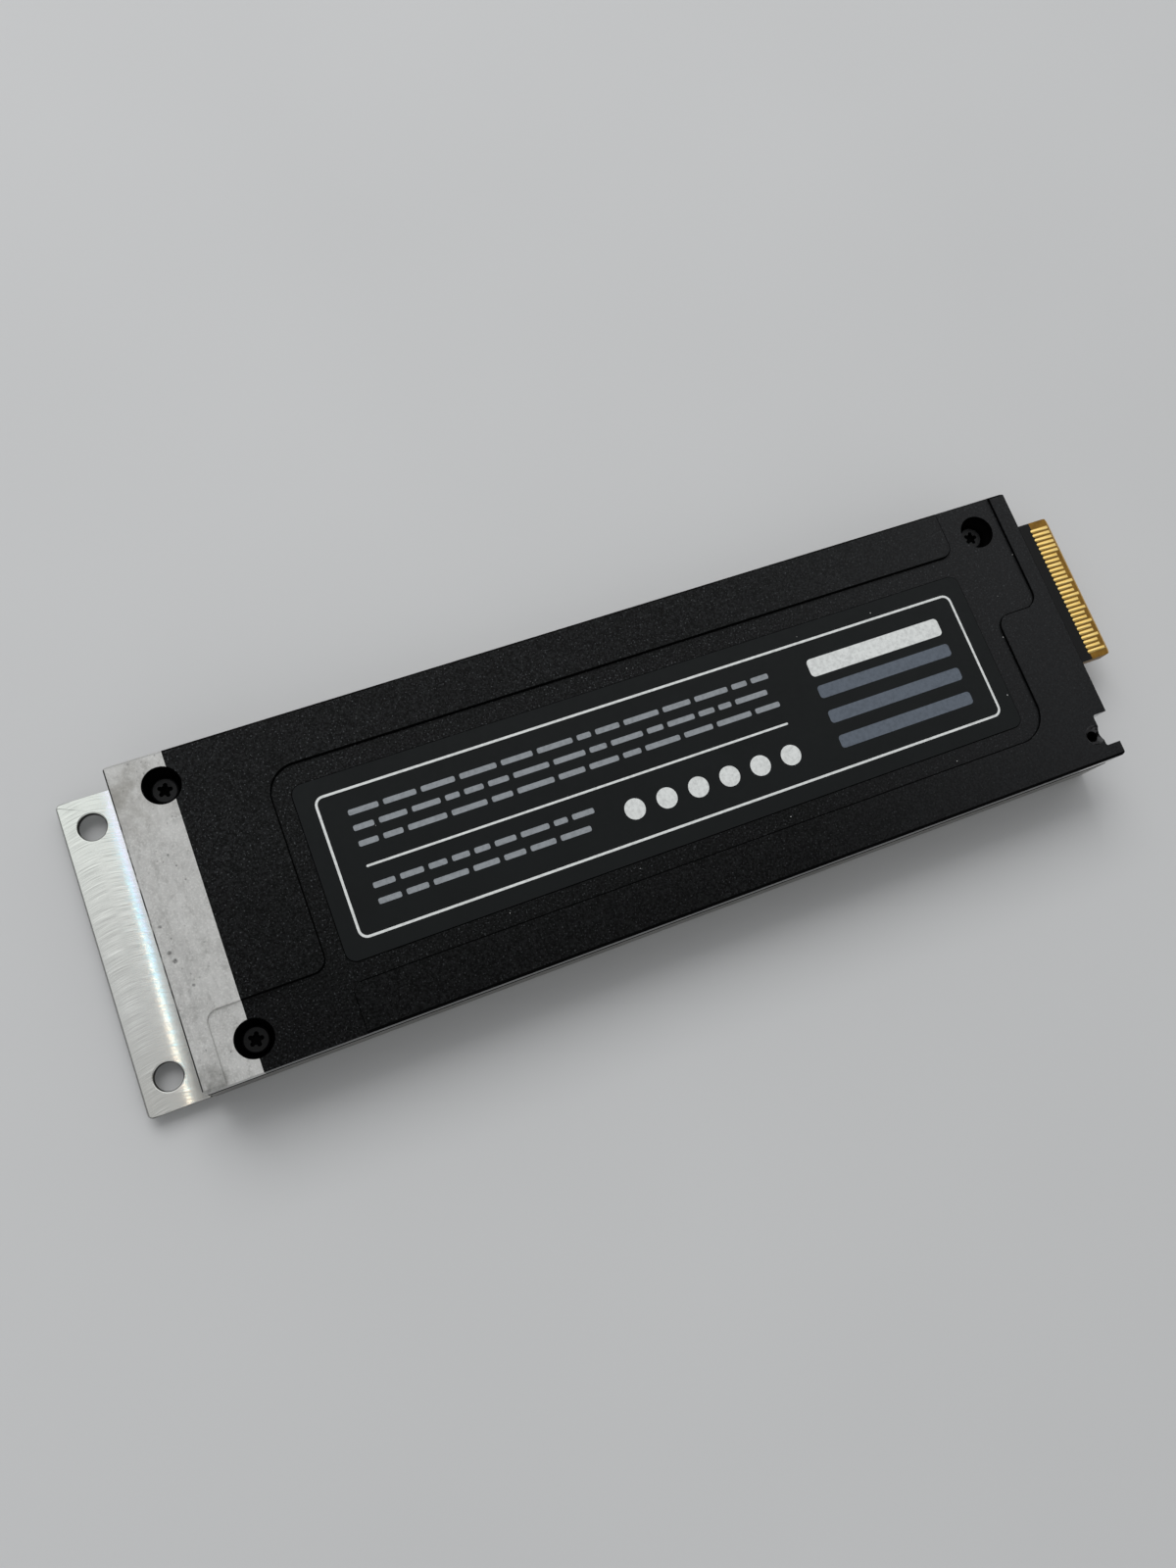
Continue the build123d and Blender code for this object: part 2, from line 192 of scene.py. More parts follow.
class Finish(Nodes):
    """One procedural material, worked out from the place of each point on the module."""

    def __init__(self, name, **constants):
        self.material = bpy.data.materials.new(name)
        self.material.use_nodes = True
        super().__init__(self.material.node_tree)
        self.shader = self.tree.nodes["Principled BSDF"]
        self.place = self.node("ShaderNodeTexCoord").outputs["Object"]
        self.surface(**constants)

    def surface(self, **inputs):
        """Sets inputs of the shader, named with underscores in place of spaces."""
        for socket, value in inputs.items():
            self.feed(self.shader.inputs[socket.replace("_", " ")], value)

    def dressed(self, colour, grain, roughness, relief=None):
        """The finished material, whose roughness follows a grain."""
        self.surface(Base_Color=colour, Roughness=self.span(grain, *NOISE_RANGE, *roughness))
        if relief is not None:
            self.surface(Normal=relief)
        return self.material

    def axis(self, letter):
        """One coordinate of the point, in millimetres."""
        split = self.node("ShaderNodeSeparateXYZ")
        self.feed(split.inputs[0], self.place)
        return self.math("DIVIDE", split.outputs[letter], MM)

    def math(self, operation, first, second=0.0):
        """The result of one step of arithmetic."""
        node = self.node("ShaderNodeMath", operation=operation)
        self.feed(node.inputs[0], first)
        self.feed(node.inputs[1], second)
        return node.outputs[0]

    def times(self, first, second):
        """The product of two values."""
        return self.math("MULTIPLY", first, second)

    def stretched(self, size, stretch):
        """The point measured in patches of that size, drawn out along each axis by its stretch."""
        mapping = self.node("ShaderNodeMapping")
        self.feed(mapping.inputs["Vector"], self.place)
        mapping.inputs["Scale"].default_value = [1 / (size * MM * s) for s in stretch]
        return mapping.outputs[0]

    def noise(self, size, detail, roughness=0.5, stretch=(1, 1, 1), shift=0.0):
        """Soft noise in patches of that size; another shift gives another noise."""
        node = self.node("ShaderNodeTexNoise", noise_dimensions="4D")
        self.feed(node.inputs["Vector"], self.stretched(size, stretch))
        node.inputs["W"].default_value = shift
        node.inputs["Scale"].default_value = 1.0
        node.inputs["Detail"].default_value = detail
        node.inputs["Roughness"].default_value = roughness
        return node.outputs[0]

    def cells(self, size):
        """Distance to the nearest of many scattered points, about one to each patch of that size."""
        node = self.node("ShaderNodeTexVoronoi")
        self.feed(node.inputs["Vector"], self.stretched(size, (1, 1, 1)))
        node.inputs["Scale"].default_value = 1.0
        return node.outputs["Distance"]

    def tones(self, value, dark, pale, low=NOISE_RANGE[0], high=NOISE_RANGE[1]):
        """A colour that goes from dark to pale as the value goes from low to high."""
        return self.ramp(value, (low, dark), (high, pale))

    def spot(self, point, radius, softness, stretch_y=1.0):
        """1 inside a round or oval patch of the plan, falling to 0 at its soft edge."""
        across = self.math("SUBTRACT", self.axis("X"), point[0])
        along = self.math("DIVIDE", self.math("SUBTRACT", self.axis("Y"), point[1]), stretch_y)
        squares = self.math("ADD", self.math("POWER", across, 2.0), self.math("POWER", along, 2.0))
        return self.span(self.math("SQRT", squares), radius, radius + softness, 1.0, 0.0)

    def bump(self, height, depth, under=None):
        """Relief of that depth in millimetres, on top of another relief if one is given."""
        node = self.node("ShaderNodeBump")
        node.inputs["Distance"].default_value = depth * MM
        self.feed(node.inputs["Height"], height)
        if under is not None:
            self.feed(node.inputs["Normal"], under)
        return node.outputs[0]


def black_coating():
    """Sandy satin black coating with painted glints as fine pale specks, painted light that makes it paler
    at the connector, and painted shade that makes it darker on the near side.
    """
    finish = Finish("black_coating", Specular_IOR_Level=0.105)
    grain = finish.noise(0.24, detail=3.0, roughness=0.62)
    drift = finish.noise(9.0, detail=2.0)
    colour = finish.tones(grain, (0.0002, 0.0003, 0.0003), (0.0145, 0.0154, 0.0160), 0.42, 0.66)
    # Painted glints: fine pale specks in the coat's colour.
    painted_glints = finish.span(finish.noise(0.19, detail=1.0, shift=4.0), 0.62, 0.72, 0.0, 0.75)
    colour = finish.mix(painted_glints, colour, (0.096, 0.102, 0.108))
    colour = finish.mix(finish.span(drift, 0.35, 0.65, 0.0, 0.2), colour, (0.0022, 0.0024, 0.0025))
    # Painted shade: the coat darkens towards the near side.
    painted_shade_near_side = finish.span(finish.axis("Y"), *COAT_PAINTED_SHADE_Y, 0.45, 0.0)
    colour = finish.mix(painted_shade_near_side, colour, (0.0, 0.0, 0.0))
    # Painted light: the coat pales towards the connector end.
    painted_light_connector_end = finish.span(finish.axis("X"), *COAT_PAINTED_LIGHT_X, 0.0, 0.5)
    colour = finish.mix(painted_light_connector_end, colour, (0.0205, 0.0211, 0.0226))
    return finish.dressed(colour, grain, (0.22, 0.34), finish.bump(grain, 0.012))


def coated_wall():
    """The coating on the cover's upright walls: thinner and smoother than on top."""
    finish = Finish("coated_wall", Specular_IOR_Level=0.5)
    grain = finish.noise(0.3, detail=2.0)
    colour = finish.tones(grain, (0.0028, 0.0030, 0.0032), (0.0062, 0.0064, 0.0066), 0.34, 0.66)
    return finish.dressed(colour, grain, (0.06, 0.10))


def painted_shade_black():
    """Painted shade: dull black inside the counterbores, in the groove and on the pocket's steps."""
    finish = Finish("painted_shade_black", Specular_IOR_Level=0.03)
    grain = finish.noise(0.2, detail=2.0)
    colour = finish.tones(grain, (0.0004, 0.0004, 0.0004), (0.0014, 0.0014, 0.0015), 0.34, 0.66)
    return finish.dressed(colour, grain, (0.60, 0.75), finish.bump(grain, 0.01))


def patchy_rim():
    """Dark rim of the small hole by the notch, paler in patches."""
    finish = Finish("patchy_rim", Metallic=1.0)
    patch = finish.noise(0.9, detail=3.0, roughness=0.6, shift=7.0)
    colour = finish.tones(patch, (0.012, 0.012, 0.012), (0.16, 0.16, 0.165), 0.42, 0.56)
    return finish.dressed(colour, patch, (0.65, 0.50), finish.bump(patch, 0.02))


def bare_casting():
    """Unpainted cast metal of the cover's front strip: mottled, stained and lightly pitted."""
    finish = Finish("bare_casting", Metallic=1.0)
    cloud = finish.noise(2.6, detail=4.0, roughness=0.6)
    grain = finish.noise(0.20, detail=3.0, roughness=0.7)
    blotch = finish.noise(0.8, detail=3.0, roughness=0.6, stretch=(0.8, 1.6, 1.0), shift=1.0)
    wipe = finish.noise(1.1, detail=3.0, stretch=(0.5, 2.2, 1.0), shift=2.0)
    colour = finish.ramp(
        cloud, (0.28, (0.60, 0.597, 0.58)), (0.52, (0.71, 0.707, 0.69)), (0.75, (0.79, 0.787, 0.77)),
    )
    colour = finish.mix(finish.span(blotch, 0.50, 0.72, 0.0, 0.6), colour, (0.47, 0.467, 0.45))
    colour = finish.mix(finish.span(grain, 0.48, 0.70, 0.0, 0.75), colour, (0.92, 0.917, 0.90))
    smudge = finish.spot(SMUDGE_POINT, 0.3, 1.6, stretch_y=3.0)
    smudge = finish.times(smudge, finish.span(wipe, 0.42, 0.66, 0.0, 0.22))
    colour = finish.mix(smudge, colour, (0.24, 0.24, 0.24))
    brown = finish.times(finish.spot(BROWN_POINT, 1.6, 3.4), finish.span(cloud, 0.40, 0.66, 0.75, 0.1))
    colour = finish.mix(brown, colour, (0.44, 0.425, 0.39))
    corner = finish.times(finish.spot(CORNER_POINT, 0.5, 1.5), finish.span(blotch, 0.35, 0.6, 0.25, 0.8))
    colour = finish.mix(corner, colour, (0.34, 0.335, 0.32))
    scattered = finish.span(finish.cells(0.7), 0.08, 0.18, 0.8, 0.0)
    pits = finish.times(scattered, finish.span(blotch, 0.45, 0.6))
    for x, y, radius in STRIP_PITS:
        pits = finish.math("MAXIMUM", pits, finish.spot((x, y), radius, PIT_EDGE))
    pits = finish.times(pits, finish.span(grain, 0.35, 0.55, 1.0, 0.45))
    colour = finish.mix(pits, colour, (0.09, 0.09, 0.09))
    relief = finish.bump(finish.math("SUBTRACT", 1.0, pits), 0.02, under=finish.bump(grain, 0.016))
    return finish.dressed(colour, cloud, (0.66, 0.56), relief)


def blasted_metal():
    """Blasted bare metal of the base tray's walls and bottom."""
    finish = Finish("blasted_metal", Metallic=1.0)
    cloud = finish.noise(5.0, detail=3.0)
    grain = finish.noise(0.18, detail=3.0, roughness=0.7)
    colour = finish.tones(cloud, (0.25, 0.244, 0.230), (0.32, 0.314, 0.298))
    colour = finish.mix(finish.span(grain, 0.45, 0.8, 0.0, 0.5), colour, (0.38, 0.374, 0.36))
    return finish.dressed(colour, grain, (0.50, 0.40), finish.bump(grain, 0.014))


def milled_metal():
    """Bright milled flange: fine arcs left by the cutter, which spread light along the flange only, and
    painted light that pales and darkens it along its length.
    """
    finish = Finish("milled_metal", Metallic=1.0, Anisotropic=0.85)
    length = finish.axis("Y")
    across = finish.math("SUBTRACT", finish.axis("X"), FLANGE_MIDDLE)
    sweep = finish.math("DIVIDE", finish.math("POWER", across, 2.0), CUTTER_DIAMETER)
    arcs = finish.node("ShaderNodeCombineXYZ")
    finish.feed(arcs.inputs["X"], finish.times(across, MM))
    finish.feed(arcs.inputs["Y"], finish.times(finish.math("ADD", length, sweep), MM))
    finish.place = arcs.outputs[0]
    cuts = finish.noise(0.2, detail=3.0, stretch=(16.0, 0.8, 1.0))
    fine = finish.noise(0.018, detail=0.0, stretch=(150.0, 1.0, 1.0), shift=5.0)
    # Painted light: the flange is made paler and darker along its length to stand in for its reflections
    # brightening and dimming.
    painted_light_along_flange = finish.ramp(
        finish.span(length, -FLANGE_REACH, FLANGE_REACH),
        (0.0, (0.76, 0.76, 0.725)), (0.3, (0.81, 0.82, 0.795)),
        (0.62, (0.80, 0.815, 0.78)), (1.0, (0.75, 0.785, 0.735)),
    )
    colour = finish.mix(finish.span(cuts, *NOISE_RANGE, 0.0, 0.26), painted_light_along_flange, (0.60, 0.605, 0.59))
    tilted = finish.node("ShaderNodeVectorMath", operation="MULTIPLY_ADD")
    finish.feed(tilted.inputs[0], finish.times(finish.math("SUBTRACT", fine, 0.5), CUT_SLOPE))
    finish.feed(tilted.inputs[1], (math.sin(STREAK_TURN), math.cos(STREAK_TURN), 0.0))
    finish.feed(tilted.inputs[2], finish.node("ShaderNodeNewGeometry").outputs["Normal"])
    normal = finish.node("ShaderNodeVectorMath", operation="NORMALIZE")
    finish.feed(normal.inputs[0], tilted.outputs[0])
    tangent = finish.node("ShaderNodeTangent", direction_type="UV_MAP", uv_map=MILLING_MAP)
    finish.surface(Tangent=tangent.outputs[0])
    return finish.dressed(colour, cuts, (0.045, 0.055), normal.outputs[0])


def painted_dark_edge():
    """Dull dark metal as painted shade and painted dark reflection on the flange's sides and holes and the
    cover's front edge, which shows bright metal in a patch on that edge.
    """
    finish = Finish("painted_dark_edge", Metallic=1.0)
    grain = finish.noise(0.2, detail=3.0, stretch=(1.0, 1.0, 0.3))
    patch = finish.noise(0.7, detail=3.0, stretch=(1.0, 1.6, 1.0), shift=8.0)
    # Painted shade and painted dark reflection: the dark tones of these edges.
    colour = finish.tones(grain, (0.045, 0.045, 0.043), (0.09, 0.09, 0.086))
    bright_metal_patch = finish.spot(BRIGHT_METAL_POINT, 0.3, 0.3, stretch_y=20.0)
    on_cover = finish.span(finish.axis("Z"), GROOVE_LOW, GROOVE_LOW + BRIGHT_METAL_FADE)
    bright_metal_mask = finish.times(finish.times(bright_metal_patch, on_cover), finish.span(patch, 0.40, 0.56))
    colour = finish.mix(bright_metal_mask, colour, (0.80, 0.79, 0.76))
    return finish.dressed(colour, grain, (0.42, 0.56), finish.bump(grain, 0.006))


def black_screw():
    """Black oxide of the cover screws, with painted shade that makes them darker on the near side."""
    finish = Finish("black_screw", Metallic=0.2, Specular_IOR_Level=0.22)
    grain = finish.noise(0.12, detail=3.0, roughness=0.6)
    colour = finish.tones(grain, (0.006, 0.006, 0.0063), (0.018, 0.018, 0.019))
    # Painted shade: the screws darken towards the near side.
    painted_shade_near_side = finish.span(finish.axis("Y"), *SCREW_PAINTED_SHADE_Y, 0.75, 0.0)
    colour = finish.mix(painted_shade_near_side, colour, (0.002, 0.002, 0.002))
    return finish.dressed(colour, grain, (0.30, 0.46), finish.bump(grain, 0.006))


def label_film():
    """Smooth satin black film of the label, faintly blue."""
    finish = Finish("label_film", Specular_IOR_Level=0.21)
    drift = finish.noise(6.0, detail=3.0)
    fine = finish.noise(0.5, detail=2.0)
    colour = finish.tones(drift, (0.0018, 0.0029, 0.0032), (0.0028, 0.0042, 0.0046))
    return finish.dressed(colour, fine, (0.40, 0.48), finish.bump(fine, 0.002))


def ink(name, colour):
    """Printed ink, slightly uneven."""
    finish = Finish(name, Specular_IOR_Level=0.30)
    patch = finish.noise(0.35, detail=3.0, roughness=0.6)
    uneven = finish.tones(patch, shade(colour, THIN_INK), colour, 0.32, 0.58)
    return finish.dressed(uneven, patch, (0.55, 0.45))


def solder_mask():
    """Satin black mask of the circuit board."""
    finish = Finish("solder_mask", Specular_IOR_Level=0.20)
    fine = finish.noise(0.3, detail=3.0)
    colour = finish.tones(fine, (0.0025, 0.0027, 0.0029), (0.0050, 0.0053, 0.0056))
    return finish.dressed(colour, fine, (0.40, 0.50), finish.bump(fine, 0.004))


def bare_laminate():
    """Golden brown glass laminate of the board's tab and cut edges, with its layers and a paler tip."""
    finish = Finish("bare_laminate", Specular_IOR_Level=0.25)
    layer = finish.noise(0.22, detail=2.0, stretch=(6.0, 6.0, 0.5))
    fibre = finish.noise(0.25, detail=3.0, shift=3.0)
    colour = finish.tones(layer, (0.14, 0.066, 0.003), (0.24, 0.120, 0.008))
    tip_start = BOARD_END - TIP_LENGTH
    tip = finish.span(finish.axis("X"), tip_start, tip_start + TIP_FADE, 0.0, 0.8)
    colour = finish.mix(tip, colour, (0.55, 0.32, 0.06))
    colour = finish.mix(finish.span(fibre, 0.5, 0.75, 0.0, 0.3), colour, (0.40, 0.22, 0.03))
    return finish.dressed(colour, fibre, (0.36, 0.50), finish.bump(fibre, 0.006))


def gold_plating():
    """Hard gold of the edge contacts, unevenly rubbed along their length."""
    finish = Finish("gold_plating", Metallic=1.0)
    rub = finish.noise(0.30, detail=3.0, stretch=(3.0, 0.7, 1.0))
    colour = finish.tones(rub, (1.0, 0.66, 0.18), (1.0, 0.75, 0.29))
    return finish.dressed(colour, rub, (0.09, 0.17), finish.bump(rub, 0.003))


def speckled(name, size, dark, pale, roughness, metallic=0.0, depth=0.01):
    """A plain moulded, fired or pressed finish: two tones of one grain, with its relief."""
    finish = Finish(name, Metallic=metallic)
    grain = finish.noise(size, detail=3.0, roughness=0.6)
    colour = finish.tones(grain, dark, pale)
    range_of_roughness = (roughness + SPECKLE_SPREAD, roughness - SPECKLE_SPREAD)
    return finish.dressed(colour, grain, range_of_roughness, finish.bump(grain, depth))


coating = black_coating()
casting = bare_casting()
blasted = blasted_metal()
milled = milled_metal()
mask = solder_mask()
laminate = bare_laminate()
slot_finishes = {
    "black_coating": coating,
    "bare_aluminium": blasted,
    "black_screw": black_screw(),
    "label_film": label_film(),
    "board_laminate": mask,
    "gold_plating": gold_plating(),
    "chip_epoxy": speckled("chip_epoxy", 0.2, (0.014, 0.014, 0.015), (0.030, 0.030, 0.031), 0.55),
    "ferrite": speckled("ferrite", 0.15, (0.05, 0.05, 0.055), (0.11, 0.11, 0.115), 0.65),
    "capacitor_case": speckled("capacitor_case", 0.4, (0.45, 0.30, 0.04), (0.58, 0.40, 0.07), 0.45),
    "ceramic": speckled("ceramic", 0.25, (0.34, 0.23, 0.14), (0.46, 0.33, 0.22), 0.40),
    "crystal_can": speckled(
        "crystal_can", 0.2, (0.55, 0.55, 0.53), (0.68, 0.68, 0.66), 0.30, metallic=1.0, depth=0.004,
    ),
    "light_lens": speckled("light_lens", 0.3, (0.70, 0.70, 0.62), (0.86, 0.86, 0.80), 0.25),
    "thermal_pad": speckled("thermal_pad", 0.35, (0.34, 0.40, 0.46), (0.44, 0.50, 0.56), 0.75),
}
white_ink = ink("white_ink", (0.72, 0.74, 0.73))
grey_ink = ink("grey_ink", (0.27, 0.29, 0.31))
slate_ink = ink("slate_ink", (0.105, 0.125, 0.155))
dust = speckled("dust", 0.05, (0.45, 0.45, 0.44), (0.80, 0.80, 0.78), 0.8)
painted_shade_finish = painted_shade_black()
dark_edge = painted_dark_edge()

# Finishes of the pieces that have several, and the numbers by which their faces name them
COVER_FINISHES = [coating, casting, coated_wall(), painted_shade_finish, patchy_rim(), dark_edge]
COATED, BARE, WALL, PAINTED_SHADE, PATCHY_RIM, FRONT_EDGE = range(len(COVER_FINISHES))
BASE_FINISHES = [blasted, milled, dark_edge, painted_shade_finish]
TRAY, FLANGE, FLANGE_EDGE, GROOVE_SHADE = range(len(BASE_FINISHES))
SCREW_FINISHES = [slot_finishes["black_screw"], painted_shade_finish]
OXIDE, SOCKET_SHADE = range(len(SCREW_FINISHES))
BOARD_FINISHES = [mask, laminate]
MASKED, LAMINATE = range(len(BOARD_FINISHES))
LABEL_FINISHES = [slot_finishes["label_film"], painted_shade_finish]
FILM, FILM_EDGE_SHADE = range(len(LABEL_FINISHES))

# Limits on a face's normal by which it counts as flat, gently sloped, turned to the flange or upright
FLAT = 0.95
NEARLY_FLAT = 0.9
GENTLE = 0.85
TO_FLANGE = -0.1
UPRIGHT = 0.2

# Limits of place by which a face or an edge is told from its neighbours
LEVEL_MARGIN = 0.01
FRONT_EDGE_END = CASE_FRONT + 0.2
FLANGE_END = CASE_FRONT - 0.02
FLANGE_ROUND_END = CASE_FRONT - 0.5
RIM_START = CASE_FRONT + 1.0
RIM_END = 50.6
RIM_HALF_WIDTH = 16.0
RIM_LOW = POCKET_FLOOR + 0.3
RIM_TO_BORE = COUNTERBORE_RADIUS + 0.1


def new_piece(name, mesh, materials):
    """A piece of the scene that moves with the module."""
    piece = bpy.data.objects.new(name, mesh)
    bpy.context.scene.collection.objects.link(piece)
    for material in materials:
        mesh.materials.append(material)
    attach(piece, BODY)
    return piece


def near(point, places, radius):
    """True if a point lies within that radius of one of the places, seen from above."""
    return any(math.hypot(point.x - x, point.y - y) < radius for x, y in places)


def edge_middle(edge):
    """The middle of an edge, in millimetres."""
    return (edge.verts[0].co + edge.verts[1].co) / 2 / MM


def face_middle(face):
    """The middle of a face, in millimetres."""
    return face.calc_center_median() / MM


def merged_copy(node):
    """The mesh of a CAD node with its flat facets merged, except round the places that stay sharp."""
    build = bmesh.new()
    build.from_mesh(frame["nodes"][node].data)
    bmesh.ops.remove_doubles(build, verts=build.verts, dist=WELD_DISTANCE * MM)
    verts = [vert for vert in build.verts if not near(vert.co / MM, SHARP_PLACES, SHARP_RADIUS)]
    loose = set(verts)
    edges = [edge for edge in build.edges if loose.issuperset(edge.verts)]
    bmesh.ops.dissolve_limit(build, angle_limit=FLAT_ANGLE, verts=verts, edges=edges)
    return build


def finish_faces(faces, choose):
    """Gives each face the number of its material."""
    for face in faces:
        face.smooth = True
        face.material_index = choose(face)


def mark_edges(build, share):
    """Gives each sharp outer edge its share of the rounding, and keeps the sharp places sharp."""
    weight = build.edges.layers.float.new("bevel_weight_edge")
    for edge in build.edges:
        middle = edge_middle(edge)
        steep = edge.calc_face_angle() > ROUND_ANGLE
        if near(middle, SHARP_PLACES, SHARP_RADIUS):
            edge.smooth = not steep
        elif steep and edge.is_convex:
            edge[weight] = share(middle)
    return weight


def round_rim(build, weight, rim, width, choose):
    """Rounds the marked edges that rim picks by a width of their own."""
    edges = [edge for edge in build.edges if edge[weight] and rim(edge_middle(edge))]
    for edge in edges:
        edge[weight] = 0.0
    made = bmesh.ops.bevel(
        build, geom=edges, offset=width * MM, segments=ROUND_STEPS, profile=0.5, affect="EDGES",
    )
    finish_faces(made["faces"], choose)


def one_finish(face):
    """The number of a face's material where a piece has only one."""
    return 0


def full_share(middle):
    """The share of an edge's rounding where all edges have the same."""
    return 1.0


def softened(
    node, name, materials, width,
    choose=one_finish, cut_at=None, share=full_share, rim=None, rim_width=0.0,
):
    """A copy of a CAD node with its sharp edges rounded, which then stands for the node.

    cut_at splits its faces at that X, choose gives the number of a face's material, and
    share gives the part of the width by which an edge with that middle is rounded. Edges
    whose middle rim picks are rounded by rim_width instead, and choose finishes them too.
    """
    build = merged_copy(node)
    if cut_at is not None:
        everything = build.verts[:] + build.edges[:] + build.faces[:]
        bmesh.ops.bisect_plane(build, geom=everything, plane_co=(cut_at * MM, 0, 0), plane_no=(1, 0, 0))
    build.normal_update()
    finish_faces(build.faces, choose)
    weight = mark_edges(build, share)
    if rim:
        round_rim(build, weight, rim, rim_width, choose)
    mesh = bpy.data.meshes.new(name)
    build.to_mesh(mesh)
    build.free()
    piece = new_piece(name, mesh, materials)
    rounding = piece.modifiers.new("rounded_edges", "BEVEL")
    rounding.width = width * MM
    rounding.segments = ROUND_STEPS
    rounding.limit_method = "WEIGHT"
    rounding.use_clamp_overlap = False
    piece.modifiers.new("even_shading", "WEIGHTED_NORMAL").keep_sharp = True
    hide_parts(node)
    return piece


def cover_face(face):
    """Number of a cover face's finish. The rim's gentle upper face is coated where it faces the flange."""
    middle = face_middle(face)
    flat = abs(face.normal.z) > FLAT
    upright = abs(face.normal.z) < UPRIGHT
    on_top = flat and middle.z > POCKET_FLOOR - LEVEL_MARGIN
    # The counterbores' walls and floors get painted shade.
    if near(middle, SCREW_POINTS, COUNTERBORE_RADIUS) and not on_top:
        return PAINTED_SHADE
    # The cover's rounded front edge gets the dark edge finish, a painted dark reflection.
    if middle.x < FRONT_EDGE_END and not flat and not upright:
        return FRONT_EDGE
    if middle.x < PAINT_EDGE:
        return BARE
    # The pilot hole's walls get painted shade; its rim gets the patchy finish.
    if near(middle, [PILOT_POINT], PILOT_RIM_RADIUS) and not flat:
        return PAINTED_SHADE if upright else PATCHY_RIM
    if upright and middle.z < POCKET_FLOOR:
        return WALL
    gentle = face.normal.z > GENTLE and face.normal.x < TO_FLANGE
    # The pocket's steps and other sloped faces get painted shade.
    return COATED if flat or gentle else PAINTED_SHADE


def cover_rim(middle):
    """True along the pocket's rim."""
    inside = RIM_START < middle.x < RIM_END and abs(middle.y) < RIM_HALF_WIDTH
    return inside and middle.z > RIM_LOW and not near(middle, SCREW_POINTS, RIM_TO_BORE)


def base_face(face):
    """Number of a base face's finish."""
    middle = face_middle(face)
    if middle.x < FLANGE_END:
        # Flange faces that are not flat get the dark edge finish, painted shade and dark reflection.
        return FLANGE if abs(face.normal.z) > NEARLY_FLAT else FLANGE_EDGE
    # The groove's faces get painted shade.
    return GROOVE_SHADE if middle.z > GROOVE_LOW - LEVEL_MARGIN else TRAY


def base_share(middle):
    """Full rounding on the flange, less on the tray and none on its groove's ledge."""
    if middle.x < FLANGE_ROUND_END:
        return 1.0
    return 0.0 if abs(middle.z - GROOVE_LOW) < LEVEL_MARGIN else SHELL_ROUND / FLANGE_ROUND


def screw_face(face):
    """Number of a screw face's finish: dull black painted shade inside the sockets, oxide elsewhere."""
    middle = face_middle(face)
    deep = SCREW_TOP - SOCKET_DEPTH - LEVEL_MARGIN < middle.z < SCREW_TOP - 2 * LEVEL_MARGIN
    return SOCKET_SHADE if deep and near(middle, SCREW_POINTS, SOCKET_RADIUS) else OXIDE


def board_face(face):
    """Number of a board face's finish: bare at the tab's end and on the cut edges, masked elsewhere."""
    bare = face_middle(face).x > MASK_EDGE or abs(face.normal.z) < NEARLY_FLAT
    return LAMINATE if bare else MASKED


def label_face(face):
    """Number of a label face's finish: the film on top, dull black painted shade on its cut edge."""
    return FILM if face.normal.z > FLAT else FILM_EDGE_SHADE


def label_rim(middle):
    """True along the label's upper edge."""
    return middle.z > LABEL_TOP - LEVEL_MARGIN


def map_milling(piece):
    """Lays a map over the base whose first axis runs along the flange."""
    layer = piece.data.uv_layers.new(name=MILLING_MAP)
    turn = Matrix.Rotation(-STREAK_TURN, 2)
    for loop in piece.data.loops:
        place = piece.data.vertices[loop.vertex_index].co
        layer.data[loop.index].uv = turn @ Vector((place.y, -place.x))


softened(
    "top_cover", "cover_shell", COVER_FINISHES, SHELL_ROUND,
    cover_face, PAINT_EDGE, rim=cover_rim, rim_width=RIM_ROUND,
)
base = softened(
    "base_tray", "base_shell", BASE_FINISHES, FLANGE_ROUND, base_face, share=base_share,
)
map_milling(base)
softened("cover_screws", "socket_screws", SCREW_FINISHES, SMALL_ROUND, screw_face)
softened(
    "circuit_board", "board_tab", BOARD_FINISHES, SMALL_ROUND, board_face, MASK_EDGE,
)
for side in ("contacts_top", "contacts_bottom"):
    piece_name = side.replace("contacts", "gold_contacts")
    softened(side, piece_name, [slot_finishes["gold_plating"]], SMALL_ROUND)
softened(
    "label_sheet", "label_face", LABEL_FINISHES, SMALL_ROUND,
    label_face, rim=label_rim, rim_width=LABEL_ROUND,
)

# The CAD nodes that stay as they are get their slots' finishes
for entry in frame["record"]["subparts"]:
    materials = frame["nodes"][entry["node"]].data.materials
    materials.clear()
    materials.append(slot_finishes[entry["material_slot"]])

# Label print: plain generic fields only
INK_THICKNESS = 0.008
CORNER_STEPS = 6
FRAME_LOW = (-34.5, -8.0)
FRAME_HIGH = (40.5, 7.3)
FRAME_CORNER = 1.0
FRAME_STROKE = 0.26

# Rows of bars on the left, long above a hairline and short below it, with dots beside the short ones
ROWS_LEFT = -31.6
LONG_ROWS_RIGHT = 16.2
LONG_ROW_FEET = (4.4, 2.7, 1.0)
SHORT_ROWS_RIGHT = -7.6
SHORT_ROW_FEET = (-3.5, -5.2)
ROW_HEIGHT = 0.6
BAR_LENGTHS = (2.5 * ROW_HEIGHT, 7.0 * ROW_HEIGHT)
BAR_GAP = 0.9 * ROW_HEIGHT
BAR_CORNER = 0.3 * ROW_HEIGHT
BAR_SEED = 5
HAIRLINE_LOW = -1.2
HAIRLINE_HIGH = -0.96
HAIRLINE_CORNER = 0.1
DOT_START = (-3.4, -4.5)
DOT_PITCH = 3.7
DOT_COUNT = 6
DOT_RADIUS = 1.15
DOT_ROUNDNESS = 0.98

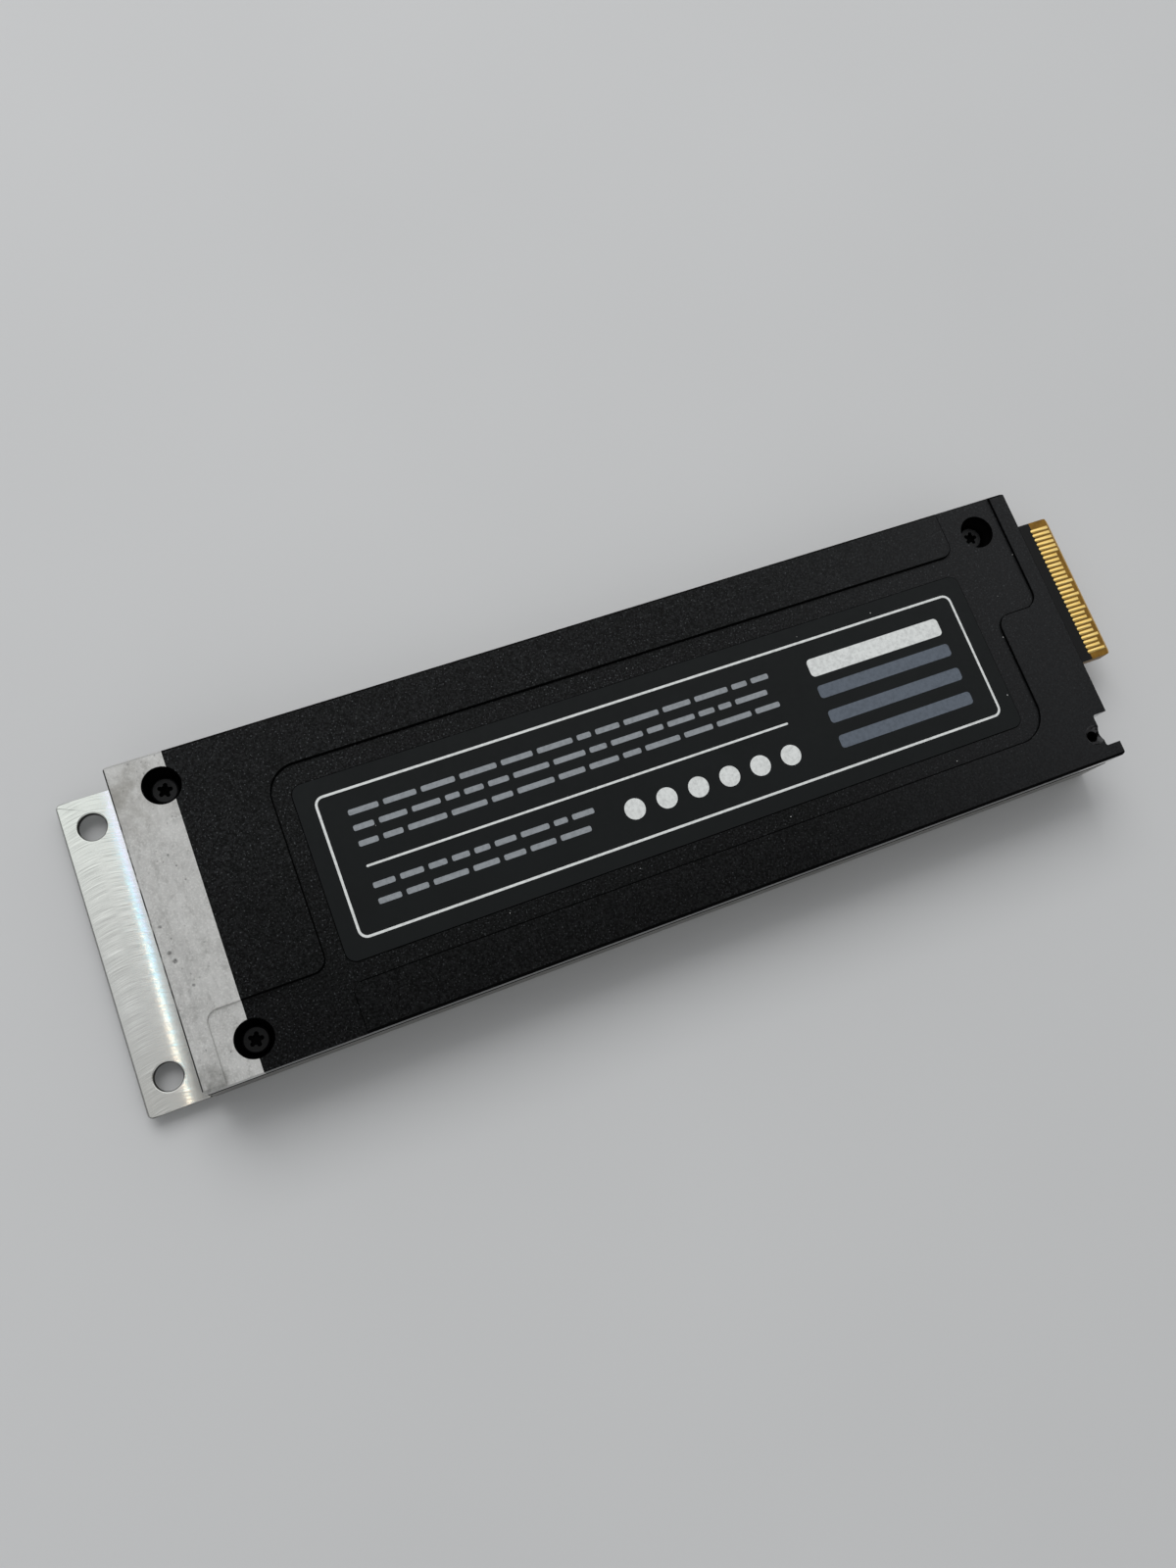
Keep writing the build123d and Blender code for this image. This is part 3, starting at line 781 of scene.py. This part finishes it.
# A broad bar on the right, with stripes under it
BLOCK_LEFT = 21.0
BLOCK_RIGHT = 37.8
BROAD_BAR_LOW = 2.9
BROAD_BAR_HIGH = 5.0
BROAD_BAR_CORNER = 0.5
STRIPE_FEET = (0.3, -2.7, -5.7)
STRIPE_HEIGHT = 1.5
STRIPE_CORNER = 0.4


def rounded_ring(low, high, corner):
    """Points round a rectangle with rounded corners, counter-clockwise from above."""
    ring = []
    corners = [(high[0], high[1], 0), (low[0], high[1], 90), (low[0], low[1], 180), (high[0], low[1], 270)]
    for x, y, start in corners:
        middle_x = x - corner if x == high[0] else x + corner
        middle_y = y - corner if y == high[1] else y + corner
        for step in range(CORNER_STEPS + 1):
            angle = math.radians(start + 90 * step / CORNER_STEPS)
            ring.append((middle_x + corner * math.cos(angle), middle_y + corner * math.sin(angle)))
    return ring


def ring_verts(build, ring, level):
    """The points of a ring as vertices at that level."""
    return [build.verts.new((x * MM, y * MM, level * MM)) for x, y in ring]


def band(build, first, second):
    """A strip of faces between two rings of the same number of points."""
    for index in range(len(first)):
        after = (index + 1) % len(first)
        build.faces.new((first[index], first[after], second[after], second[index]))


def field(build, low, high, corner):
    """A thin printed field with rounded corners on the label."""
    ring = rounded_ring(low, high, corner)
    bottom = ring_verts(build, ring, LABEL_TOP)
    top = ring_verts(build, ring, LABEL_TOP + INK_THICKNESS)
    band(build, bottom, top)
    build.faces.new(top)
    build.faces.new(bottom[::-1])


def frame_field(build, low, high, corner, stroke):
    """A printed outline of that stroke, with rounded corners."""
    outer = rounded_ring(low, high, corner)
    inner_low = (low[0] + stroke, low[1] + stroke)
    inner_high = (high[0] - stroke, high[1] - stroke)
    inner = rounded_ring(inner_low, inner_high, corner - stroke)
    outer_bottom = ring_verts(build, outer, LABEL_TOP)
    outer_top = ring_verts(build, outer, LABEL_TOP + INK_THICKNESS)
    inner_top = ring_verts(build, inner, LABEL_TOP + INK_THICKNESS)
    inner_bottom = ring_verts(build, inner, LABEL_TOP)
    band(build, outer_bottom, outer_top)
    band(build, outer_top, inner_top)
    band(build, inner_top, inner_bottom)
    band(build, inner_bottom, outer_bottom)


def bar_row(build, rng, right, foot):
    """A row of plain bars of uneven length, as dense as a line of small print."""
    x = ROWS_LEFT
    while x < right - ROW_HEIGHT:
        length = min(rng.uniform(*BAR_LENGTHS), right - x)
        field(build, (x, foot), (x + length, foot + ROW_HEIGHT), BAR_CORNER)
        x += length + BAR_GAP


def disc(build, middle, radius):
    """A round printed dot, just short of a circle so that no two of its points meet."""
    low = (middle[0] - radius, middle[1] - radius)
    high = (middle[0] + radius, middle[1] + radius)
    field(build, low, high, DOT_ROUNDNESS * radius)


def mesh_piece(name, draw, material):
    """A piece whose mesh is drawn by a function."""
    mesh = bpy.data.meshes.new(name)
    build = bmesh.new()
    draw(build)
    build.to_mesh(mesh)
    build.free()
    new_piece(name, mesh, [material])


def white_fields(build):
    """A thin frame round the label, a hairline along it, a row of dots and a broad bar."""
    frame_field(build, FRAME_LOW, FRAME_HIGH, FRAME_CORNER, FRAME_STROKE)
    field(build, (ROWS_LEFT, HAIRLINE_LOW), (LONG_ROWS_RIGHT, HAIRLINE_HIGH), HAIRLINE_CORNER)
    for column in range(DOT_COUNT):
        disc(build, (DOT_START[0] + DOT_PITCH * column, DOT_START[1]), DOT_RADIUS)
    field(build, (BLOCK_LEFT, BROAD_BAR_LOW), (BLOCK_RIGHT, BROAD_BAR_HIGH), BROAD_BAR_CORNER)


def grey_fields(build):
    """Rows of small bars above and below the hairline."""
    rng = random.Random(BAR_SEED)
    for foot in LONG_ROW_FEET:
        bar_row(build, rng, LONG_ROWS_RIGHT, foot)
    for foot in SHORT_ROW_FEET:
        bar_row(build, rng, SHORT_ROWS_RIGHT, foot)


def slate_fields(build):
    """Three broad stripes under the bar."""
    for foot in STRIPE_FEET:
        field(build, (BLOCK_LEFT, foot), (BLOCK_RIGHT, foot + STRIPE_HEIGHT), STRIPE_CORNER)


mesh_piece("label_print_white", white_fields, white_ink)
mesh_piece("label_print_grey", grey_fields, grey_ink)
mesh_piece("label_print_slate", slate_fields, slate_ink)

# Dust: a few flakes on the label and on the pocket's floor
DUST_SPOTS = [
    (50.38, 9.4, POCKET_FLOOR), (44.72, 0.4, POCKET_FLOOR), (46.3, 5.2, POCKET_FLOOR),
    (30.6, 7.9, LABEL_TOP), (42.0, -6.1, LABEL_TOP), (21.2, 7.9, LABEL_TOP),
    (1.5, 10.4, POCKET_FLOOR), (-5.2, -10.6, POCKET_FLOOR), (12.4, -10.8, POCKET_FLOOR),
    (33.0, -11.2, POCKET_FLOOR), (-29.4, 2.6, LABEL_TOP), (-19.6, -10.4, POCKET_FLOOR),
]
DUST_SIZES = (0.035, 0.075)
DUST_UNEVENNESS = (0.7, 1.25)
DUST_FLATNESS = 0.45
DUST_RISE = 0.3
DUST_SEED = 11


def dust_flakes(build):
    """Small flattened lumps, each of an uneven form of its own."""
    rng = random.Random(DUST_SEED)
    for x, y, level in DUST_SPOTS:
        size = rng.uniform(*DUST_SIZES)
        before = set(build.verts)
        bmesh.ops.create_icosphere(build, subdivisions=1, radius=size * MM)
        for vert in [v for v in build.verts if v not in before]:
            vert.co *= rng.uniform(*DUST_UNEVENNESS)
            vert.co.z *= DUST_FLATNESS
            vert.co += Vector((x * MM, y * MM, (level + DUST_RISE * size) * MM))


mesh_piece("dust_flakes", dust_flakes, dust)

# Floor and sky
FLOOR_SIZE = 4000.0
FLOOR_COLOUR = (0.595, 0.600, 0.605)
FLOOR_DARKER = 0.97
SKY_BY_HEIGHT = [(0.0, 0.25), (0.5, 0.70), (0.8, 1.05), (1.0, 1.05)]
SKY_AXIS = (0.2, 0.98, 0.0)
SKY_ALONG_AXIS = [
    (-1.0, 0.6), (-0.35, 0.55), (-0.1, 0.28), (0.09, 0.26),
    (0.15, 0.5), (0.19, 0.8), (0.25, 0.95), (0.3, 1.0),
]
SKY_TINT = (0.985, 0.995, 1.0)
WHITE = (1.0, 1.0, 1.0)

# Lamps: the key is aimed at the module, and the others hang level and show in the flange's milling.
# Each streak lamp has its place, length, colour and power.
KEY_LAMP_PLACE = (-60.0, 420.0, 560.0)
KEY_LAMP_SIZE = (450.0, 450.0)
KEY_LAMP_POWER = 2.1
STREAK_LAMPS = [
    ((-177.1, 50.0, 900.0), 122.0, (1.0, 0.79, 0.58), 0.0026),
    ((-173.2, 155.0, 900.0), 88.0, (0.05, 0.76, 1.0), 0.00108),
    ((-169.8, 245.0, 900.0), 92.0, (0.50, 0.42, 1.0), 0.00090),
]
STREAK_LAMP_WIDTH = 2.2
FILL_LAMP_PLACE = (-222.0, 60.0, 950.0)
FILL_LAMP_SIZE = (90.0, 210.0)
FILL_LAMP_POWER = 0.0148


def plain_floor():
    """A plain pale floor under the module, hardly uneven."""
    finish = Finish("floor", Specular_IOR_Level=0.2, Roughness=0.8)
    patch = finish.noise(60.0, detail=2.0)
    finish.surface(Base_Color=finish.tones(patch, shade(FLOOR_COLOUR, FLOOR_DARKER), FLOOR_COLOUR))
    mesh = bpy.data.meshes.new("floor")
    half = FLOOR_SIZE / 2 * MM
    corners = [(-half, -half, 0), (half, -half, 0), (half, half, 0), (-half, half, 0)]
    mesh.from_pydata(corners, [], [(0, 1, 2, 3)])
    mesh.materials.append(finish.material)
    floor = bpy.data.objects.new("floor", mesh)
    bpy.context.scene.collection.objects.link(floor)


def soft_sky():
    """A soft sky, brighter overhead than low down, and uneven along one axis."""
    world = bpy.data.worlds.new("studio")
    world.use_nodes = True
    sky = Nodes(world.node_tree)
    direction = sky.node("ShaderNodeTexCoord").outputs["Generated"]
    split = sky.node("ShaderNodeSeparateXYZ")
    sky.feed(split.inputs[0], direction)
    lean = sky.node("ShaderNodeVectorMath", operation="DOT_PRODUCT")
    sky.feed(lean.inputs[0], direction)
    sky.feed(lean.inputs[1], SKY_AXIS)
    height_stops = [(height, shade(SKY_TINT, level)) for height, level in SKY_BY_HEIGHT]
    axis_stops = [((along + 1) / 2, shade(WHITE, level)) for along, level in SKY_ALONG_AXIS]
    by_height = sky.ramp(split.outputs["Z"], *height_stops)
    along_axis = sky.ramp(sky.span(lean.outputs["Value"], -1.0, 1.0), *axis_stops)
    light = sky.mix(1.0, by_height, along_axis, blend="MULTIPLY")
    sky.feed(world.node_tree.nodes["Background"].inputs["Color"], light)
    bpy.context.scene.world = world


def area_lamp(name, place, size, power, colour=WHITE):
    """A soft rectangular lamp that shines straight down; its size is across and along."""
    light = bpy.data.lights.new(name, "AREA")
    light.shape = "RECTANGLE"
    light.size = size[0] * MM
    light.size_y = size[1] * MM
    light.energy = power
    light.color = colour
    lamp = bpy.data.objects.new(name, light)
    bpy.context.scene.collection.objects.link(lamp)
    lamp.location = Vector(place) * MM
    return lamp


def studio_lamps():
    """A key lamp without a reflection of its own, and the lamps whose reflections the flange shows."""
    key = area_lamp("key", KEY_LAMP_PLACE, KEY_LAMP_SIZE, KEY_LAMP_POWER)
    key.rotation_euler = (-Vector(KEY_LAMP_PLACE)).to_track_quat("-Z", "Y").to_euler()
    key.visible_glossy = False
    flange_lamps = []
    for number, (place, length, colour, power) in enumerate(STREAK_LAMPS, start=1):
        size = (STREAK_LAMP_WIDTH, length)
        flange_lamps.append(area_lamp(f"streak_lamp_{number}", place, size, power, colour))
    flange_lamps.append(area_lamp("fill", FILL_LAMP_PLACE, FILL_LAMP_SIZE, FILL_LAMP_POWER))
    for lamp in flange_lamps:
        lamp.rotation_euler = (0, 0, -STREAK_TURN)


def photo_camera():
    """The camera at the photo's place, with the photo's angle of view."""
    camera = bpy.data.objects.new("camera", bpy.data.cameras.new("camera"))
    bpy.context.scene.collection.objects.link(camera)
    axes = Matrix((CAMERA_RIGHT, CAMERA_UP, CAMERA_BACK)).transposed()
    camera.matrix_world = Matrix.Translation(Vector(CAMERA_PLACE) * MM) @ axes.to_4x4()
    camera.data.sensor_width = SENSOR_SIZE
    camera.data.lens = CAMERA_FOCAL_PIXELS / IMAGE_HEIGHT * SENSOR_SIZE
    camera.data.clip_start = CAMERA_NEAREST * MM
    bpy.context.scene.camera = camera


plain_floor()
soft_sky()
studio_lamps()
photo_camera()
bpy.context.scene.view_settings.view_transform = "Standard"

bpy.context.view_layer.update()
